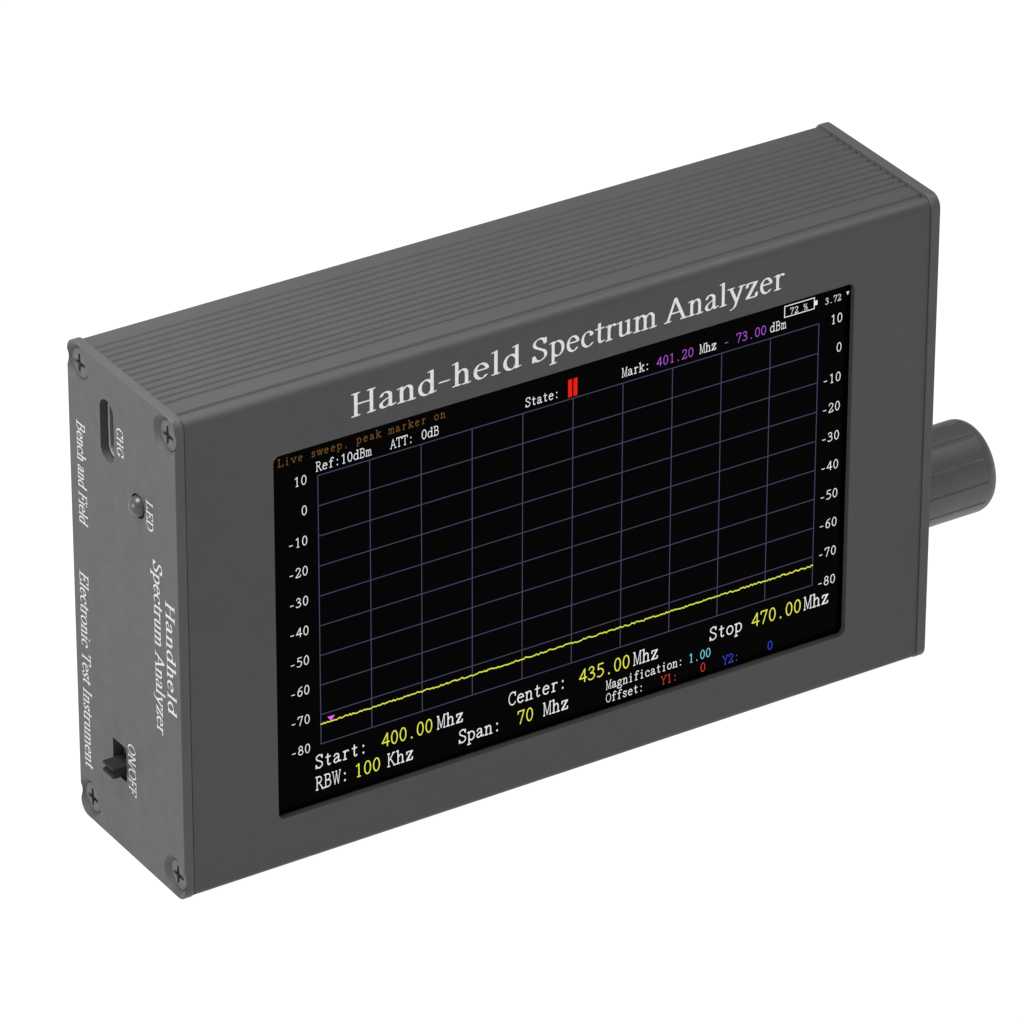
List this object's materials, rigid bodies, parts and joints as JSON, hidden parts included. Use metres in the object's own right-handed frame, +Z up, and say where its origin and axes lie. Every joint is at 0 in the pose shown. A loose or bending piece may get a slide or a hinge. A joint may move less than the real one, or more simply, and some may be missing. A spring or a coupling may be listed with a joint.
{
  "type": "spectrum analyzer",
  "caption": "Handheld spectrum analyzer: flat ribbed aluminium case with a colour screen, tuning knob, RF input, charging port, lamp and power switch.",
  "frame": {"origin": "middle of the underside of the whole object, knob and power switch included", "axes": "+X to the right along the front, towards the tuning knob; +Y from the screen to the back; +Z up"},
  "size_m": [0.1442, 0.0294, 0.0758],
  "materials": {
    "case_anodised": "fine blasted dark grey anodising",
    "plate_anodised": "fine blasted dark grey anodising",
    "lettering": "white screen printing",
    "screw_metal": "dark plated",
    "screen_glass": "glossy black",
    "screen_picture": "lit picture",
    "adhesive_tape": "matt black",
    "tin_plate": "bright tin plate",
    "light_guide": "milky",
    "flex_film": "amber film",
    "circuit_board": "green solder mask",
    "chip_package": "matt moulded",
    "connector_nylon": "cream nylon",
    "battery_wrap": "silver pouch",
    "foam": "open foam",
    "wire_red": "satin",
    "wire_black": "satin",
    "port_metal": "bright nickel",
    "lamp_resin": "clear cast resin",
    "switch_plastic": "moulded black",
    "knob_plastic": "satin black",
    "zinc": "zinc plate",
    "encoder_plastic": "moulded",
    "rf_gold": "gold plate",
    "rf_insulator": "waxy white"
  },
  "bodies": {
    "case": {"housing_tube": "case_anodised", "left_end_plate": "plate_anodised", "right_end_plate": "plate_anodised", "left_screw_front_bottom": "screw_metal", "left_screw_front_top": "screw_metal", "left_screw_back_bottom": "screw_metal", "left_screw_back_top": "screw_metal", "right_screw_front_bottom": "screw_metal", "right_screw_front_top": "screw_metal", "right_screw_back_bottom": "screw_metal", "right_screw_back_top": "screw_metal", "display_tape": "adhesive_tape", "display_glass": "screen_glass", "display_frame": "tin_plate", "display_backlight": "light_guide", "display_flex": "flex_film", "main_board": "circuit_board", "flex_connector": "connector_nylon", "processor_chip": "chip_package", "interface_chip": "chip_package", "charger_chip": "chip_package", "power_inductor": "chip_package", "rf_shield_can": "tin_plate", "synthesizer_chip": "chip_package", "mixer_chip": "chip_package", "reference_crystal": "tin_plate", "battery_connector": "connector_nylon", "battery_pad": "foam", "battery_cell": "battery_wrap", "battery_lead_positive": "wire_red", "battery_lead_negative": "wire_black", "charging_port_shell": "port_metal", "charging_port_tongue": "chip_package", "status_lamp": "lamp_resin", "lamp_lead_upper": "tin_plate", "lamp_lead_lower": "tin_plate", "power_switch_body": "zinc", "encoder_body": "zinc", "encoder_rear_cover": "encoder_plastic", "encoder_bushing": "zinc", "encoder_washer": "zinc", "encoder_nut": "zinc", "rf_input_shell": "rf_gold", "rf_input_washer": "rf_gold", "rf_input_nut": "rf_gold", "rf_input_insulator": "rf_insulator", "rf_input_contact": "rf_gold"},
    "power_slider": {"power_switch_knob": "switch_plastic"},
    "push_plunger": {"encoder_plunger": "encoder_plastic"},
    "tuning_knob": {"encoder_shaft": "zinc", "control_knob": "knob_plastic"}
  },
  "joints": [
    {"name": "power_switch_slide", "type": "slide", "parent": "case", "child": "power_slider", "axis": [0, 0, 1], "range_m": [0, 0.002]},
    {"name": "encoder_push", "type": "slide", "parent": "case", "child": "push_plunger", "axis": [-1, 0, 0], "range_m": [0, 0.0005], "stiffness_N_per_m": 4000},
    {"name": "encoder_turn", "type": "hinge", "parent": "push_plunger", "child": "tuning_knob", "pos_m": [0.06445, -0.00088, 0.0211], "axis": [1, 0, 0], "continuous": true}
  ]
}
